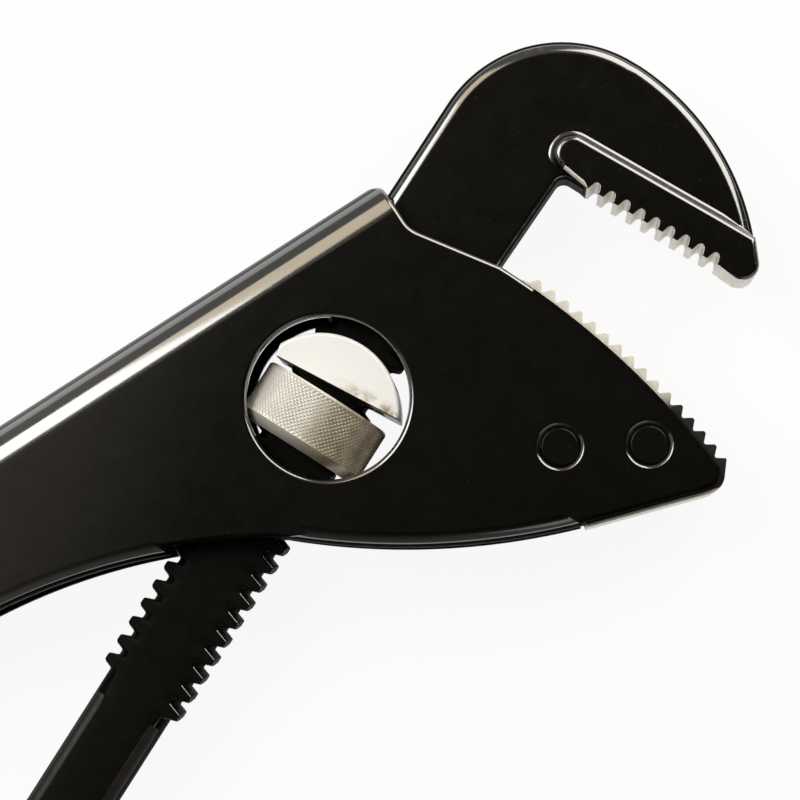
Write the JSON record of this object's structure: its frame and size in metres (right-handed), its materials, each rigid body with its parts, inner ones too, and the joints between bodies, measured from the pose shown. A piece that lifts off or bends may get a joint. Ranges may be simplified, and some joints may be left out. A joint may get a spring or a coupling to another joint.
{
  "type": "water pump pliers",
  "caption": "Adjustable pipe pliers: pressed steel body with window nut, rocking saddle and toothed hook jaw on a screwed bar that forms the lower handle.",
  "frame": {"origin": "centre of the round window, the pivot of the rocking saddle, halfway between the side plates", "axes": "+X along the folded back toward the head, +Y from the pivot toward the folded back, +Z out of the front plate"},
  "size_m": [0.2173, 0.0985, 0.022],
  "materials": {
    "black_paint": "semi-gloss",
    "worn_steel": "worn",
    "knurled_steel": "knurled",
    "polished_steel": "polished"
  },
  "bodies": {
    "body": {"pressed_body": "black_paint", "fixed_jaw": "worn_steel", "jaw_rivet_front": "black_paint", "jaw_rivet_rear": "black_paint"},
    "saddle": {"rocker_saddle": "polished_steel"},
    "nut": {"adjusting_nut": "knurled_steel"},
    "lever": {"hook_jaw": "black_paint"}
  },
  "joints": [
    {"name": "rock", "type": "hinge", "parent": "body", "child": "saddle", "pos_m": [0, 0, 0], "axis": [0, 0, 1], "range_deg": [-4, 0]},
    {"name": "nut_turn", "type": "hinge", "parent": "saddle", "child": "nut", "pos_m": [-0.00025, 0.00054, 0], "axis": [0.9063, 0.4226, 0], "range_deg": [-4180, 1360]},
    {"name": "jaw_travel", "type": "slide", "parent": "saddle", "child": "lever", "axis": [0.9063, 0.4226, 0], "range_m": [-0.013, 0.04]}
  ],
  "couplings": [
    {"joint": "nut_turn", "follows": "jaw_travel", "rad_per_m": -1821.2}
  ]
}
